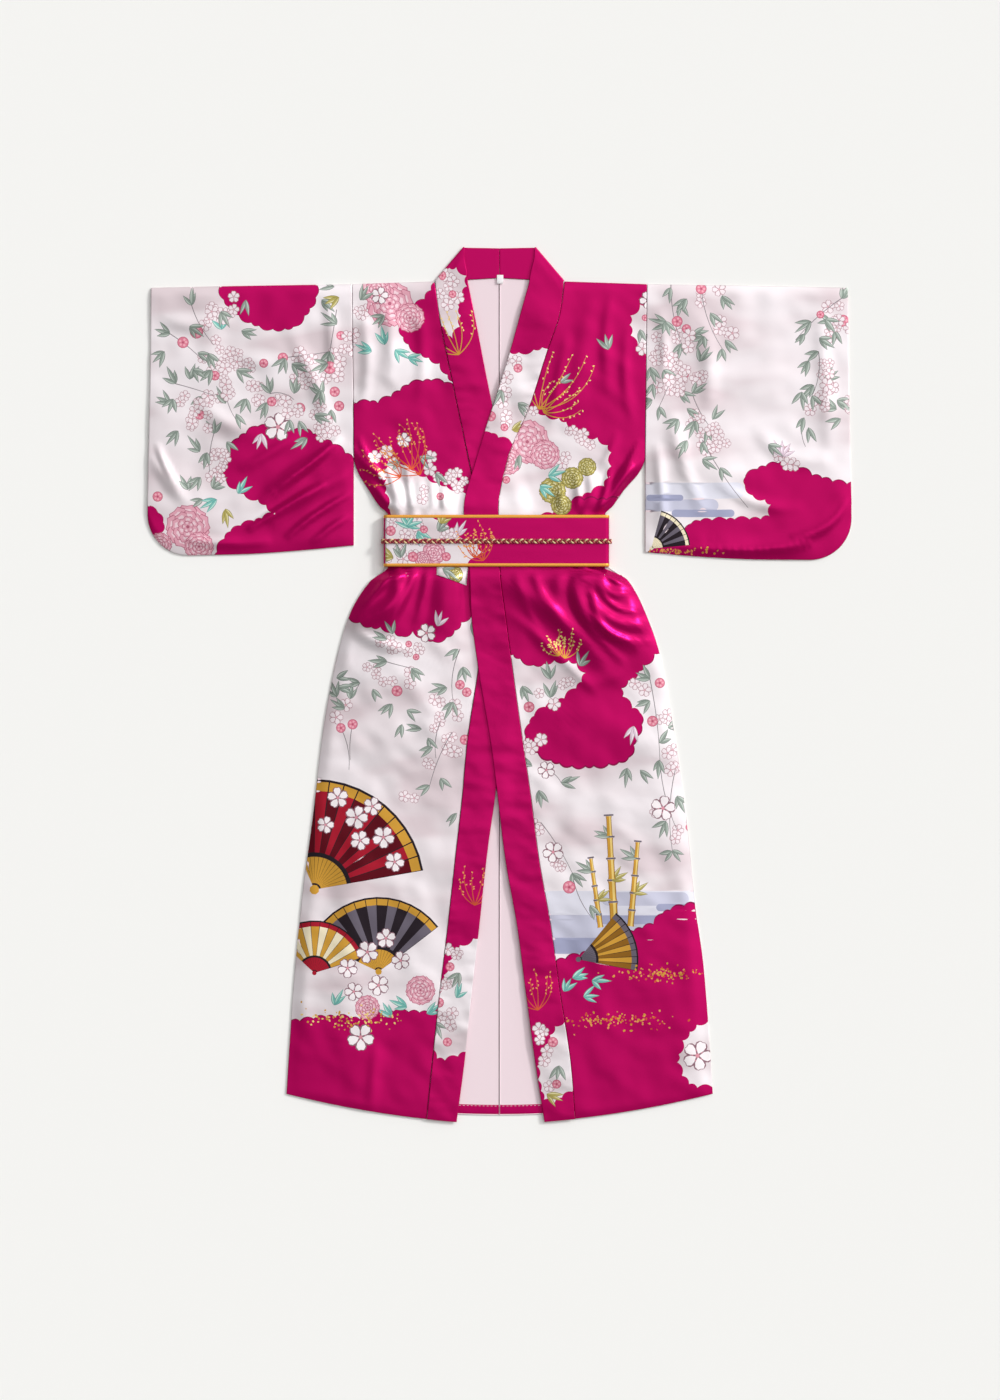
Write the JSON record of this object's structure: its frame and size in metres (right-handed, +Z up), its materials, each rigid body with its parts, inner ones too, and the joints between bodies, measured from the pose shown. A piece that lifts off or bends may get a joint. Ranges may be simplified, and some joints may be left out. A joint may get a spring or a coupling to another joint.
{
  "type": "yukata",
  "caption": "Wide-sleeved printed satin robe with a crossed collar band, a piped sash and a braided sash cord, laid flat with the front up.",
  "frame": {"origin": "middle of the footprint of the robe, on the surface that it lies on", "axes": "+X to the viewer's right across the sleeves, +Y from the hem to the collar, +Z up out of the front"},
  "size_m": [1.1426, 1.4196, 0.0253],
  "materials": {
    "printed_satin": "satin",
    "sash_satin": "satin",
    "metallic_piping": "metallic cloth",
    "braided_cord": "braided",
    "woven_tape": "woven"
  },
  "bodies": {
    "root": {"body_under": "printed_satin", "body_over": "printed_satin", "sleeve_left": "printed_satin", "sleeve_right": "printed_satin", "collar_under": "printed_satin", "collar_over": "printed_satin", "waist_tuck": "printed_satin", "hanging_loop": "woven_tape", "sash": "sash_satin", "piping_top": "metallic_piping", "piping_bottom": "metallic_piping", "sash_braid": "braided_cord"}
  },
  "joints": []
}
